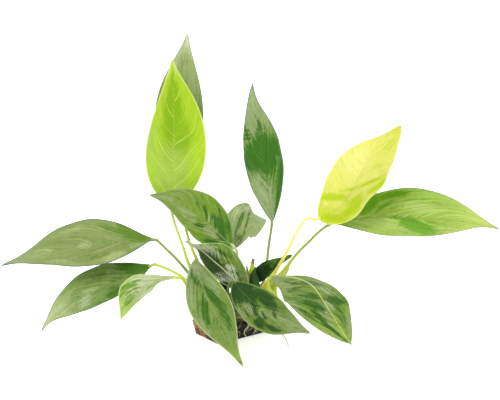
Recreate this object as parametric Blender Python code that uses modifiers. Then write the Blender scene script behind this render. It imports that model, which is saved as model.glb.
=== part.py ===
"""Anubias, an aquarium plant whose creeping rhizome grows along a sawn block of bogwood.

Fifteen leaf blades, each on its own stalk, rise and arch from the rhizome, with young shoots
between them and roots that run down over the wood. Objects are in metres, +Z up, with the origin
at the centre of the block's flat underside. The sizes and places below are in millimetres. Run it
with blender --background --python part.py, or from Blender's text editor.
"""

import math
from dataclasses import dataclass

import bmesh
import bpy
from mathutils import Matrix, Vector

MM = 0.001
GAP = 0.35  # clear space between a piece and what it grows from

BLOCK_LENGTH = 48.0
BLOCK_DEPTH = 24.0
BLOCK_HEIGHT = 9.2
BLOCK_TURN = 37.0  # degrees from X to its long side
BLOCK_FLARE = 1.08  # its top against its underside
BLOCK_EDGE = 0.7

# The rhizome's axis passes through these, and its radius swells and narrows at the leaf scars
RHIZOME = ((-18.0, -14.0, 14.2), (-6.5, -11.5, 14.4), (7.0, -4.5, 14.4), (21.0, 5.5, 14.2))
RHIZOME_RADIUS = 4.2
RHIZOME_SWELL = 0.1
RHIZOME_KNOTS = 17

BLADE_ROWS = 12
BLADE_COLUMNS = 6
BLADE_THICKNESS = 0.7
MIDRIB_THICKNESS = 1.3
BLADE_END_WIDTH = 2.2  # where the blade meets its stalk
BLADE_TIP_WIDTH = 2.0
BLADE_TIP_ROUND = 0.03  # share of the length over which the tip is rounded
BLADE_TIP_END = 0.32  # width of its very end, against the tip's
WAIST_LENGTH = 0.11  # share of the length over which a drawn-in margin fades

STALK_RADIUS = 1.0
STALK_FOOT_RADIUS = 1.7
STALK_END_RADIUS = 0.8
STALK_RISE = 6.0  # straight out of the rhizome
STALK_STEPS = 3  # rings between two of its points

ROOT_RADIUS = 0.5


@dataclass
class Leaf:
    """One blade and its stalk."""

    name: str
    midrib: tuple  # the points where it starts, is a third and two thirds along, and ends
    facing: tuple  # where its upper side looks
    width: float
    foot: tuple  # place along the rhizome from 0 to 1, and degrees round it towards the front
    via: tuple  # points that the stalk passes
    neck: float = 4.5  # the stalk's last stretch, where it turns into the midrib
    widest: tuple = (0.42, 0.42)  # share of the length from the base, on the left and right
    taper: tuple = (1.0, 1.0)  # higher is slimmer towards both ends, on the left and right
    point: tuple = (0.4, 0.4)  # how much slimmer still towards the tip, on the left and right
    skew: float = 0.0  # how much wider its right half is than its left, as a share
    waist: tuple = (0.5, 0.0)  # where along it the right half draws in, and by what share
    fold: float = 8.0  # degrees that each half rises from the midrib, none at the tip
    colour: str = "leaf_green"
    stalk_colour: str = "stalk_green"


LEAVES = (
    Leaf(
        "tall_back", ((-35, 45, 80), (-37.5, 55.5, 109), (-36.5, 64, 139.5), (-32, 70, 171.5)),
        (0.1, -0.95, 0.3), 30.5, (0.20, -40), ((-25.5, 8, 43), (-32.5, 26, 57)),
        widest=(0.48, 0.48), taper=(1.45, 1.3), point=(0.1, 0),
    ),
    Leaf(
        "tall_lime", ((-41.9, 37, 70.8), (-40.8, 46.5, 99), (-40.2, 53, 128), (-41.2, 57, 157.9)),
        (0.05, -0.97, 0.25), 38.2, (0.09, -50), ((-29.5, 0, 41.5), (-33.5, 10, 49.5), (-40.5, 27, 64)),
        widest=(0.33, 0.38), taper=(0.63, 0.6), point=(0, 0.7), skew=0.08, fold=9.3, colour="leaf_lime",
        stalk_colour="stalk_pale",
    ),
    Leaf(
        "crown_left", ((-3.6, 6, 53.1), (-16, 13.5, 61.6), (-31.7, 20.5, 71.6), (-55.1, 27, 78.9)),
        (0.2, -0.7, 0.7), 30.9, (0.48, -15), ((0, 3, 30), (-1.5, 11, 41)),
        widest=(0.37, 0.53), taper=(0.6, 0.97), point=(0.8, 0.6), fold=14,
    ),
    Leaf(
        "arching_back", ((-6, 14, 48.6), (3.7, 31, 61.4), (10.1, 47.5, 61.1), (7, 64, 40.1)),
        (0.6, -0.1, 0.75), 20.7, (0.58, -50), ((2, 8, 30), (-4, 13, 38)),
        widest=(0.25, 0.44), taper=(0.6, 0.42), point=(0, 0), skew=-0.09, fold=12.8,
    ),
    Leaf(
        "folded_centre", ((4.9, -11, 30.3), (-12, -10, 45.6), (-21.6, -5, 52.4), (-32.4, 3, 56.7)),
        (0.15, -0.6, 0.8), 23.3, (0.62, 20), ((6.2, -10, 27.2),),
        neck=2.0, widest=(0.29, 0.35), taper=(0.7, 0.57), point=(3.3, 3), skew=0.15, fold=14,
    ),
    Leaf(
        "front_hanging", ((-25.7, -17, 50.7), (-17.7, -35, 32), (-8.7, -50.5, 20.5), (3, -64, 1.3)),
        (-0.4, -0.6, 0.7), 25.6, (0.25, 25), ((-20, -15, 35.5),),
        widest=(0.43, 0.4), taper=(0.82, 0.74), point=(1.4, 0.2), fold=14,
    ),
    Leaf(
        "far_left", ((-52.1, 2, 58.1), (-80.1, 2, 54.5), (-111.6, 2, 50.2), (-143.8, 2, 41.3)),
        (0.0, -0.55, 0.83), 36.8, (0.0, -5),
        ((-31, -8, 41), (-37, -5, 47.3), (-42.5, -2, 52), (-47.5, 0.5, 56.2)),
        neck=2.5, widest=(0.43, 0.46), taper=(1.41, 1.27), point=(0, 1.1), skew=0.06,
    ),
    Leaf(
        "low_left", ((-53.1, -4, 43.4), (-74.6, -10, 33.5), (-97.8, -16, 25.5), (-117.4, -23, 8.5)),
        (-0.35, -0.5, 0.8), 32.8, (0.03, 42), ((-31.5, -10, 36), (-41, -6, 40.8), (-48, -4.6, 43.2)),
        neck=2.5, widest=(0.54, 0.43), taper=(1.18, 0.91), point=(1.6, 0.5), skew=0.04, fold=11,
        stalk_colour="stalk_pale",
    ),
    Leaf(
        "small_left", ((-37.8, -20, 41.4), (-51.6, -26, 38.7), (-60.9, -32, 32.3), (-69.1, -37, 20.4)),
        (-0.3, -0.55, 0.78), 22.9, (0.13, 62), ((-31.5, -19, 36.5),),
        widest=(0.53, 0.6), taper=(2.42, 1.75), point=(0, 0.3), skew=-0.04, fold=32,
        stalk_colour="stalk_pale",
    ),
    Leaf(
        "upright_centre", ((20.8, 27, 62.4), (16.7, 36.5, 89.6), (12.5, 45, 113.2), (8.5, 52, 143.4)),
        (0.4, -0.85, 0.3), 26.9, (0.84, -40),
        ((15.1, 14, 26.1), (16.3, 18, 32.3), (17.5, 21.5, 38), (18.5, 25, 45.9)),
        neck=2.0, widest=(0.44, 0.49), taper=(0.85, 0.93), point=(0, 1.8), skew=-0.03,
    ),
    Leaf(
        "small_back", ((9.5, 10.5, 27.2), (14.6, 10.5, 34), (22.7, 13, 38.4), (32.8, 17, 43.3)),
        (0.0, -0.8, 0.6), 9.9, (0.70, -70), ((7.5, 8, 22.5),),
        neck=2.0, widest=(0.38, 0.32), taper=(0.8, 1.0), point=(0, 0), skew=-0.06, fold=5,
    ),
    Leaf(
        "yellow_right", ((48.7, 7, 69.7), (68.2, 11, 85.9), (79.8, 17.5, 106.9), (99.2, 27, 122.5)),
        (-0.4, -0.75, 0.55), 37.6, (0.90, -5),
        ((22.2, 5, 35.5), (31.5, 6.5, 52.6), (38, 7, 65.3), (42, 7, 69.5)),
        neck=2.0, widest=(0.38, 0.48), taper=(0.52, 0.58), point=(3.9, 0.2), skew=0.03, waist=(0.325, 0.23),
        colour="leaf_yellow", stalk_colour="stalk_pale",
    ),
    Leaf(
        "far_right", ((56.6, 22, 62), (86.5, 18.5, 66.9), (124, 10.5, 67.8), (157.2, 2, 64.6)),
        (0.0, -0.6, 0.8), 40, (0.99, -5), ((26.9, 8, 34.5), (35.2, 13, 44.6), (41.5, 17, 50)),
        widest=(0.49, 0.49), taper=(1.59, 1.38), point=(0.1, 2), skew=0.01, fold=18,
    ),
    Leaf(
        "low_right", ((20.5, 2, 35.2), (40.5, -12, 35.9), (50.7, -29, 29), (66.5, -43, 7)),
        (0.25, -0.45, 0.85), 38, (0.94, 38), ((18.6, 0, 28),),
        neck=2.0, widest=(0.67, 0.53), taper=(2.12, 0.57), point=(0, 1.1), skew=0.07, fold=-11.4,
        stalk_colour="stalk_pale",
    ),
    Leaf(
        "front_right", ((-2.3, -21, 38.4), (8.6, -31, 29.4), (24.1, -41, 21.2), (41.9, -48, 16.1)),
        (0.1, -0.55, 0.83), 27.3, (0.42, 40), ((-6, -21.5, 32.4),),
        neck=2.2, widest=(0.44, 0.5), taper=(0.92, 0.93), point=(0, 2.4), skew=0.08,
    ),
)

# Young shoots, each from its foot on the rhizome through its points, with its width at each
SHOOTS = (
    ("shoot_tall", (0.68, -20), ((7.5, 8, 33.2), (9.1, 9, 43.3)), (2.8, 2.8, 1.5), "shoot"),
    ("shoot_short", (0.57, -5), ((5.7, 1, 32.2), (5.1, 3, 40.7)), (2.2, 2.0, 0.8), "shoot"),
    ("shoot_young_leaf", (0.75, 8), ((9.2, 3.5, 33.4), (10.3, 5, 39.7)), (3.0, 5.0, 0.6), "leaf_green"),
)

# Roots, each from the rhizome's front to places on the block's long front face, given along it
# from its middle and in height, with any last points on the floor
ROOTS = (
    ("root_left", 0.16, ((-17, 8), (-18.5, 3.5), (-17.5, 0.6)), ()),
    ("root_middle", 0.45, ((-3, 8), (-5.5, 4.5), (-4, 0.8)), ()),
    ("root_right", 0.59, ((2.5, 8), (3, 4), (1, 1.5)), ()),
    ("root_trailing", 0.82, ((13, 8), (15, 4.5)), ((23, -1, 1.9), (27.5, -12, 1.1), (30.5, -34, 0.7))),
)


def along(points, t):
    """The point at t on the smooth curve that passes the four points at 0, 1/3, 2/3 and 1."""
    a, b, c, d = (Vector(point) for point in points)
    u = 3 * t
    start = a * (1 - u) * (2 - u) * (3 - u) / 6 + b * u * (2 - u) * (3 - u) / 2
    return start + c * u * (u - 1) * (3 - u) / 2 + d * u * (u - 1) * (u - 2) / 6


def heading_along(points, t):
    """The direction in which that curve runs at t."""
    return (along(points, t + 0.01) - along(points, t - 0.01)).normalized()


def reach_of_half(leaf, t, right):
    """How far one half of the blade reaches from its midrib at t, 0 at its stalk and 1 at its tip."""
    widest = leaf.widest[right]
    beyond = max(0.0, (t - widest) / (1 - widest))
    taper = leaf.taper[right] * (1 + leaf.point[right] * beyond**2)
    share = (t / widest) ** taper * ((1 - t) / (1 - widest)) ** (taper * (1 - widest) / widest)
    width = leaf.width * (1 + leaf.skew if right else 1 - leaf.skew)
    if right:
        width *= 1 - leaf.waist[1] * math.exp(-(((t - leaf.waist[0]) / WAIST_LENGTH) ** 2))
    ends = BLADE_END_WIDTH * (1 - t) + BLADE_TIP_WIDTH * t
    rounding = min(max(math.sqrt((1 - t) / BLADE_TIP_ROUND), BLADE_TIP_END), 1.0)
    return 0.5 * (width * share + ends * (1 - share)) * rounding


def blade_frame(leaf, t):
    """The midrib's direction at t, and the one square to it that the upper side faces."""
    heading = heading_along(leaf.midrib, t)
    across = (Vector(leaf.midrib[3]) - Vector(leaf.midrib[0])).cross(Vector(leaf.facing))
    across = (across - heading * across.dot(heading)).normalized()
    return heading, across.cross(heading)


def blade_point(leaf, t, side):
    """A point of the blade's upper surface, side running from -1 at its left edge to 1."""
    heading, up = blade_frame(leaf, t)
    across = heading.cross(up)
    fold = math.radians(leaf.fold * (1 - t**6))
    reach = reach_of_half(leaf, t, side > 0) * side
    return along(leaf.midrib, t) + across * reach * math.cos(fold) + up * abs(reach) * math.sin(fold)


def material(name, colour, roughness):
    """A Principled material, made once for each name."""
    found = bpy.data.materials.get(name) or bpy.data.materials.new(name)
    found.use_nodes = True
    shader = found.node_tree.nodes["Principled BSDF"]
    shader.inputs["Base Color"].default_value = (*colour, 1.0)
    shader.inputs["Roughness"].default_value = roughness
    return found


def place(collection, name, data, surface):
    """Puts a mesh or curve in the plant's collection, with its material."""
    piece = bpy.data.objects.new(name, data)
    piece.data.materials.append(surface)
    collection.objects.link(piece)
    return piece


def blade(collection, leaf, surface):
    """A grid laid along the midrib, thickened downwards and most of all under the midrib."""
    mesh = bpy.data.meshes.new(leaf.name)
    grid = bmesh.new()
    bmesh.ops.create_grid(grid, x_segments=BLADE_COLUMNS, y_segments=BLADE_ROWS, size=1.0)
    middle_column = []
    for vertex in grid.verts:
        side, row = vertex.co.x, 0.5 * (vertex.co.y + 1)
        if abs(side) < 0.01:
            middle_column.append(vertex.index)
        t = 0.5 - 0.5 * math.cos(math.pi * row)
        vertex.co = blade_point(leaf, 0.5 * (t + row), side) * MM
    grid.to_mesh(mesh)
    grid.free()
    mesh.shade_smooth()
    piece = place(collection, "leaf_" + leaf.name, mesh, surface)
    midrib = piece.vertex_groups.new(name="midrib")
    midrib.add(middle_column, 1.0, "REPLACE")
    shell = piece.modifiers.new("thickness", "SOLIDIFY")
    shell.thickness = MIDRIB_THICKNESS * MM
    shell.offset = -1.0
    shell.vertex_group = midrib.name
    shell.thickness_vertex_group = BLADE_THICKNESS / MIDRIB_THICKNESS
    return piece


def tube(collection, name, points, radii, surface, steps=STALK_STEPS, kind="BEZIER"):
    """A round tube with closed ends through the points, each with its own radius."""
    curve = bpy.data.curves.new(name, "CURVE")
    curve.dimensions = "3D"
    curve.bevel_depth = MM
    curve.bevel_resolution = 1
    curve.resolution_u = steps
    curve.use_fill_caps = True
    spline = curve.splines.new(kind)
    knots = spline.bezier_points if kind == "BEZIER" else spline.points
    knots.add(len(points) - 1)
    for knot, point, radius in zip(knots, points, radii):
        knot.co = Vector(point) * MM if kind == "BEZIER" else (Vector(point) * MM).to_4d()
        knot.radius = radius
        if kind == "BEZIER":
            knot.handle_left_type = knot.handle_right_type = "AUTO"
    return place(collection, name, curve, surface)


def on_rhizome(share, degrees, height):
    """A point above the rhizome's skin, and the direction straight out of it there."""
    heading = heading_along(RHIZOME, share)
    out = Vector((0, 0, 1)) - heading * heading.z
    out.normalize()
    out.rotate(Matrix.Rotation(math.radians(degrees), 3, heading))
    return along(RHIZOME, share) + out * (RHIZOME_RADIUS * (1 + RHIZOME_SWELL) + height), out


def stalk(collection, leaf, surface):
    """From the rhizome through its points to the blade, widest where it sheathes its foot."""
    foot, out = on_rhizome(*leaf.foot, GAP)
    heading, up = blade_frame(leaf, 0.0)
    base = Vector(leaf.midrib[0]) - up * 0.5 * MIDRIB_THICKNESS
    neck = (heading + (base - Vector(leaf.via[-1])).normalized()).normalized()
    clear = GAP + STALK_END_RADIUS * neck.cross(heading).length
    points = [foot, foot + out * STALK_RISE, *leaf.via, base - neck * leaf.neck, base - neck * clear]
    radii = [STALK_FOOT_RADIUS, 0.87 * STALK_FOOT_RADIUS]
    radii += [STALK_RADIUS] * (len(points) - 4) + [0.9 * STALK_RADIUS, STALK_END_RADIUS]
    return tube(collection, "stalk_" + leaf.name, points, radii, surface)


def rhizome(collection, surface):
    """The creeping stem, lying along the block, knotted where old leaves stood."""
    shares = [i / (RHIZOME_KNOTS - 1) for i in range(RHIZOME_KNOTS)]
    points = [along(RHIZOME, share) for share in shares]
    radii = [RHIZOME_RADIUS * (1 + RHIZOME_SWELL * (-1) ** i) for i in range(RHIZOME_KNOTS)]
    radii[0] = radii[-1] = 0.7 * RHIZOME_RADIUS
    return tube(collection, "rhizome", points, radii, surface, kind="POLY")


def shoot(collection, name, foot, through, widths, surface):
    """A pointed shoot straight out of the rhizome."""
    start, out = on_rhizome(*foot, GAP)
    radii = [0.5 * width for width in (widths[0], *widths)]
    return tube(collection, name, [start, start + out * STALK_RISE, *through], radii, surface)


def on_front_face(place_along, height, off):
    """A point off the block's long front face, from its middle and the floor."""
    turn = math.radians(BLOCK_TURN)
    spread = 1 + (BLOCK_FLARE - 1) * min(height / BLOCK_HEIGHT, 1.0)
    out = 0.5 * BLOCK_DEPTH * spread + off
    x = place_along * spread * math.cos(turn) + out * math.sin(turn)
    y = place_along * spread * math.sin(turn) - out * math.cos(turn)
    return Vector((x, y, height))


def root(collection, name, share, on_face, on_floor, surface):
    """Down from the rhizome's front, over the block's edge and along its face."""
    start, out = on_rhizome(share, 100.0, GAP)
    clear = GAP + 1.5 * ROOT_RADIUS
    brow = on_front_face(on_face[0][0], BLOCK_HEIGHT + clear, clear)
    face = [on_front_face(*spot, clear) for spot in on_face]
    points = [start, start.lerp(brow, 0.6) + Vector((0, 0, 0.5)), brow, *face, *on_floor]
    radii = [1.3 * ROOT_RADIUS] * 3 + [ROOT_RADIUS] * (len(points) - 4) + [0.6 * ROOT_RADIUS]
    return tube(collection, name, points, radii, surface, steps=2)


def block(collection, surface):
    """The bogwood: a sawn cuboid on its flat underside, a little larger at the top."""
    mesh = bpy.data.meshes.new("bogwood_block")
    cube = bmesh.new()
    bmesh.ops.create_cube(cube, size=1.0)
    for vertex in cube.verts:
        spread = BLOCK_FLARE if vertex.co.z > 0 else 1.0
        vertex.co.x *= BLOCK_LENGTH * spread * MM
        vertex.co.y *= BLOCK_DEPTH * spread * MM
        vertex.co.z = (vertex.co.z + 0.5) * BLOCK_HEIGHT * MM
    cube.to_mesh(mesh)
    cube.free()
    piece = place(collection, "bogwood_block", mesh, surface)
    piece.rotation_euler.z = math.radians(BLOCK_TURN)
    edges = piece.modifiers.new("worn edges", "BEVEL")
    edges.width = BLOCK_EDGE * MM
    edges.segments = 2
    return piece


def build():
    """Clears the scene and makes every piece of the plant."""
    for old in list(bpy.data.objects):
        bpy.data.objects.remove(old, do_unlink=True)
    collection = bpy.data.collections.new("anubias")
    bpy.context.scene.collection.children.link(collection)
    surfaces = {
        "leaf_green": material("leaf_green", (0.10, 0.20, 0.04), 0.3),
        "leaf_lime": material("leaf_lime", (0.42, 0.60, 0.04), 0.4),
        "leaf_yellow": material("leaf_yellow", (0.80, 0.82, 0.15), 0.4),
        "stalk_green": material("stalk_green", (0.20, 0.32, 0.08), 0.35),
        "stalk_pale": material("stalk_pale", (0.60, 0.66, 0.10), 0.35),
        "rhizome": material("rhizome", (0.10, 0.13, 0.03), 0.5),
        "shoot": material("shoot", (0.45, 0.50, 0.10), 0.4),
        "root": material("root", (0.55, 0.50, 0.28), 0.5),
        "bogwood": material("bogwood", (0.30, 0.15, 0.06), 0.6),
    }
    block(collection, surfaces["bogwood"])
    rhizome(collection, surfaces["rhizome"])
    for leaf in LEAVES:
        blade(collection, leaf, surfaces[leaf.colour])
        stalk(collection, leaf, surfaces[leaf.stalk_colour])
    for name, foot, through, widths, surface in SHOOTS:
        shoot(collection, name, foot, through, widths, surfaces[surface])
    for name, share, on_face, on_floor in ROOTS:
        root(collection, name, share, on_face, on_floor, surfaces["root"])


build()
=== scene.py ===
# The looks of an anubias on its block of bogwood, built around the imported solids. Sizes and places
# are in millimetres and colours are sRGB from 0 to 255 until they reach Blender. The sizes that a solid
# and its dressed piece share are the same as in the part's source.

import math
from dataclasses import dataclass

import bmesh
import bpy
import numpy as np
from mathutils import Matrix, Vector, noise


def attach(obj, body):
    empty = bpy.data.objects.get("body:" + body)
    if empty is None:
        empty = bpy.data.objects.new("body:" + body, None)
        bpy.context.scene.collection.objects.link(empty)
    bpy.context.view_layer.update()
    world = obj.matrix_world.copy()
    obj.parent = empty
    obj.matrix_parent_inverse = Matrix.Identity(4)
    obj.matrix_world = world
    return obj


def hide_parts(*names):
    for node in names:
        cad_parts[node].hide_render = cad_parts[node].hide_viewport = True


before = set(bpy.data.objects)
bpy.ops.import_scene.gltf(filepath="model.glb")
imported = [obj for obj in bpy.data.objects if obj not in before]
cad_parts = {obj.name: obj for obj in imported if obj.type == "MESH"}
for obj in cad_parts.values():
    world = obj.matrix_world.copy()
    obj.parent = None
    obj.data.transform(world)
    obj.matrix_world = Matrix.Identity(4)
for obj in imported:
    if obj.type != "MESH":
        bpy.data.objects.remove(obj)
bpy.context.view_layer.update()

MM = 0.001
GAP = 0.35
FULL_TURN = 2 * np.pi

BLOCK_LENGTH = 48.0
BLOCK_DEPTH = 24.0
BLOCK_HEIGHT = 9.2
BLOCK_TURN = 37.0
BLOCK_FLARE = 1.08
BLOCK_CUTS = 64
BLOCK_WORN = 0.45  # radius of its edges
BLOCK_DEEPEST = 0.8  # how deep its surface may lie under the solid's

RHIZOME = ((-18.0, -14.0, 14.2), (-6.5, -11.5, 14.4), (7.0, -4.5, 14.4), (21.0, 5.5, 14.2))
RHIZOME_RADIUS = 4.2
RHIZOME_SWELL = 0.1
RHIZOME_SCARS = 8
RHIZOME_ROWS = 150
RHIZOME_SIDES = 44

BLADE_ROWS = 120
BLADE_COLUMNS = 56
BLADE_END_WIDTH = 2.2
BLADE_TIP_WIDTH = 2.0
BLADE_TIP_ROUND = 0.03
BLADE_TIP_END = 0.32
BLADE_LENGTH = 85.0  # of a usual blade, for the size of its markings
WAIST_LENGTH = 0.11
MIDRIB_THICKNESS = 1.3
MARGIN_THICKNESS = 0.14
LAMINA_GAIN = 0.3  # how much thicker it is away from its margin
LAMINA_REACH = 2.2  # over what width it thickens
VEIN_SHIFT = 0.45  # how far the right half's veins lie behind the left's, in veins
VEIN_WOBBLE = 0.016

STALK_RADIUS = 1.0
STALK_FOOT_RADIUS = 1.7
STALK_END_RADIUS = 0.8
STALK_RISE = 6.0
STALK_BURIED = 1.6  # how deep it starts in the rhizome
STALK_STEPS = 14
STALK_SIDES = 28
WING_TURN = 1.15  # where the sheath's wings stand, in radians from the groove
WING_SPREAD = 0.42

SHOOT_BURIED = 1.4
SHOOT_SIDES = 18
SHEATH_THICKNESS = 0.16
SHEATH_STEPS = 12
SHEATH_SIDES = 24

ROOT_RADIUS = 0.5
ROOT_ANGLE = 100.0  # degrees round the rhizome to its front
ROOT_STEPS = 12
ROOT_SIDES = 8
ROOT_FACING = (0.3, -0.9, 0.3)
FINE_ROOT_STEPS = 7
FINE_ROOT_ANGLES = (95, 125)
FINE_ROOT_BURIED = 0.6
FINE_ROOT_REACH = 22  # how far from the block's middle they grow

SHEEN = 0.012  # what the sheen adds to a colour in this light
BRIGHT = 0.95

FLOOR_REACH = 6  # in metres

CAMERA_LENS = 118.8
CAMERA_PITCH = math.radians(15.5)
CAMERA_AIM = Vector((0.007, 0.002, 0.0825))  # in metres
CAMERA_AWAY = 0.99


@dataclass
class Leaf:
    """One blade and its stalk, as in the solids."""

    name: str
    midrib: tuple
    facing: tuple
    width: float
    foot: tuple
    via: tuple
    widest: tuple
    taper: tuple
    point: tuple
    neck: float = 4.5
    skew: float = 0.0
    waist: tuple = (0.5, 0.0)
    fold: float = 8.0
    colour: str = "leaf_green"
    stalk_colour: str = "stalk_green"


@dataclass
class Look:
    """A blade's colours and markings, with painted sheen, painted shade and painted glints.

    A patch is where it lies along and across the blade, its half length and half width, its slant and
    its strength, in hundredths.
    """

    mid: tuple
    tip: tuple
    # pale is the colour of the painted sheen, where the wet blade reflects the white surroundings
    pale: tuple
    # deep is the blade's own deep green, also used as painted shade where the blade faces away from the
    # light
    deep_and_shade: tuple
    base: tuple = None  # towards the stalk
    vein: tuple = (176, 196, 120)
    rib: tuple = (176, 190, 120)
    margin: tuple = (150, 165, 130)
    # Patches of painted sheen
    sheen_patches: tuple = ()
    # Patches that are partly the blade's own deep green and partly painted shade
    deep_and_shade_patches: tuple = ()
    # Patches of painted glints: highlights on the wet surface
    painted_glints: tuple = ()
    # light paints each blade's light and shade: its colours brought up or down by how much light falls on
    # it
    light: float = 1.0  # brings all of its colours up or down
    veins: float = 8.0  # lateral veins along the midrib
    lean: tuple = (0.6, 0.6)  # how far forward the veins run, in the left and right half
    vein_show: float = 0.25
    fine_show: float = 0.1
    # The streaks are partly the veins' own marks and partly painted sheen
    streak: float = 0.78  # contrast of the thin streaks along the veins
    rib_show: float = 0.15
    margin_show: float = 0.6
    ragged: float = 1.0  # how much the veins break up the patches' outlines
    uneven: float = 0.12  # how readily stray streaks of the patches' colours show elsewhere
    soft: float = 0.36  # how gently the patches end
    wave: float = 0.7
    through: float = 0.12  # share of light that comes through the blade
    relief: float = 0.1
    tip_from: float = 0.6


LEAVES = (
    Leaf(
        "tall_back", ((-35, 45, 80), (-37.5, 55.5, 109), (-36.5, 64, 139.5), (-32, 70, 171.5)),
        (0.1, -0.95, 0.3), 30.5, (0.20, -40), ((-25.5, 8, 43), (-32.5, 26, 57)),
        widest=(0.48, 0.48), taper=(1.45, 1.3), point=(0.1, 0),
    ),
    Leaf(
        "tall_lime", ((-41.9, 37, 70.8), (-40.8, 46.5, 99), (-40.2, 53, 128), (-41.2, 57, 157.9)),
        (0.05, -0.97, 0.25), 38.2, (0.09, -50), ((-29.5, 0, 41.5), (-33.5, 10, 49.5), (-40.5, 27, 64)),
        widest=(0.33, 0.38), taper=(0.63, 0.6), point=(0, 0.7), skew=0.08, fold=9.3, colour="leaf_lime",
        stalk_colour="stalk_pale",
    ),
    Leaf(
        "crown_left", ((-3.6, 6, 53.1), (-16, 13.5, 61.6), (-31.7, 20.5, 71.6), (-55.1, 27, 78.9)),
        (0.2, -0.7, 0.7), 30.9, (0.48, -15), ((0, 3, 30), (-1.5, 11, 41)),
        widest=(0.37, 0.53), taper=(0.6, 0.97), point=(0.8, 0.6), fold=14,
    ),
    Leaf(
        "arching_back", ((-6, 14, 48.6), (3.7, 31, 61.4), (10.1, 47.5, 61.1), (7, 64, 40.1)),
        (0.6, -0.1, 0.75), 20.7, (0.58, -50), ((2, 8, 30), (-4, 13, 38)),
        widest=(0.25, 0.44), taper=(0.6, 0.42), point=(0, 0), skew=-0.09, fold=12.8,
    ),
    Leaf(
        "folded_centre", ((4.9, -11, 30.3), (-12, -10, 45.6), (-21.6, -5, 52.4), (-32.4, 3, 56.7)),
        (0.15, -0.6, 0.8), 23.3, (0.62, 20), ((6.2, -10, 27.2),),
        neck=2.0, widest=(0.29, 0.35), taper=(0.7, 0.57), point=(3.3, 3), skew=0.15, fold=14,
    ),
    Leaf(
        "front_hanging", ((-25.7, -17, 50.7), (-17.7, -35, 32), (-8.7, -50.5, 20.5), (3, -64, 1.3)),
        (-0.4, -0.6, 0.7), 25.6, (0.25, 25), ((-20, -15, 35.5),),
        widest=(0.43, 0.4), taper=(0.82, 0.74), point=(1.4, 0.2), fold=14,
    ),
    Leaf(
        "far_left", ((-52.1, 2, 58.1), (-80.1, 2, 54.5), (-111.6, 2, 50.2), (-143.8, 2, 41.3)),
        (0.0, -0.55, 0.83), 36.8, (0.0, -5),
        ((-31, -8, 41), (-37, -5, 47.3), (-42.5, -2, 52), (-47.5, 0.5, 56.2)),
        neck=2.5, widest=(0.43, 0.46), taper=(1.41, 1.27), point=(0, 1.1), skew=0.06,
    ),
    Leaf(
        "low_left", ((-53.1, -4, 43.4), (-74.6, -10, 33.5), (-97.8, -16, 25.5), (-117.4, -23, 8.5)),
        (-0.35, -0.5, 0.8), 32.8, (0.03, 42), ((-31.5, -10, 36), (-41, -6, 40.8), (-48, -4.6, 43.2)),
        neck=2.5, widest=(0.54, 0.43), taper=(1.18, 0.91), point=(1.6, 0.5), skew=0.04, fold=11,
        stalk_colour="stalk_pale",
    ),
    Leaf(
        "small_left", ((-37.8, -20, 41.4), (-51.6, -26, 38.7), (-60.9, -32, 32.3), (-69.1, -37, 20.4)),
        (-0.3, -0.55, 0.78), 22.9, (0.13, 62), ((-31.5, -19, 36.5),),
        widest=(0.53, 0.6), taper=(2.42, 1.75), point=(0, 0.3), skew=-0.04, fold=32,
        stalk_colour="stalk_pale",
    ),
    Leaf(
        "upright_centre", ((20.8, 27, 62.4), (16.7, 36.5, 89.6), (12.5, 45, 113.2), (8.5, 52, 143.4)),
        (0.4, -0.85, 0.3), 26.9, (0.84, -40),
        ((15.1, 14, 26.1), (16.3, 18, 32.3), (17.5, 21.5, 38), (18.5, 25, 45.9)),
        neck=2.0, widest=(0.44, 0.49), taper=(0.85, 0.93), point=(0, 1.8), skew=-0.03,
    ),
    Leaf(
        "small_back", ((9.5, 10.5, 27.2), (14.6, 10.5, 34), (22.7, 13, 38.4), (32.8, 17, 43.3)),
        (0.0, -0.8, 0.6), 9.9, (0.70, -70), ((7.5, 8, 22.5),),
        neck=2.0, widest=(0.38, 0.32), taper=(0.8, 1.0), point=(0, 0), skew=-0.06, fold=5,
    ),
    Leaf(
        "yellow_right", ((48.7, 7, 69.7), (68.2, 11, 85.9), (79.8, 17.5, 106.9), (99.2, 27, 122.5)),
        (-0.4, -0.75, 0.55), 37.6, (0.90, -5),
        ((22.2, 5, 35.5), (31.5, 6.5, 52.6), (38, 7, 65.3), (42, 7, 69.5)),
        neck=2.0, widest=(0.38, 0.48), taper=(0.52, 0.58), point=(3.9, 0.2), skew=0.03, waist=(0.325, 0.23),
        colour="leaf_yellow", stalk_colour="stalk_pale",
    ),
    Leaf(
        "far_right", ((56.6, 22, 62), (86.5, 18.5, 66.9), (124, 10.5, 67.8), (157.2, 2, 64.6)),
        (0.0, -0.6, 0.8), 40, (0.99, -5), ((26.9, 8, 34.5), (35.2, 13, 44.6), (41.5, 17, 50)),
        widest=(0.49, 0.49), taper=(1.59, 1.38), point=(0.1, 2), skew=0.01, fold=18,
    ),
    Leaf(
        "low_right", ((20.5, 2, 35.2), (40.5, -12, 35.9), (50.7, -29, 29), (66.5, -43, 7)),
        (0.25, -0.45, 0.85), 38, (0.94, 38), ((18.6, 0, 28),),
        neck=2.0, widest=(0.67, 0.53), taper=(2.12, 0.57), point=(0, 1.1), skew=0.07, fold=-11.4,
        stalk_colour="stalk_pale",
    ),
    Leaf(
        "front_right", ((-2.3, -21, 38.4), (8.6, -31, 29.4), (24.1, -41, 21.2), (41.9, -48, 16.1)),
        (0.1, -0.55, 0.83), 27.3, (0.42, 40), ((-6, -21.5, 32.4),),
        neck=2.2, widest=(0.44, 0.5), taper=(0.92, 0.93), point=(0, 2.4), skew=0.08,
    ),
)

GREY_MARGIN = (112, 126, 116)

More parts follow.
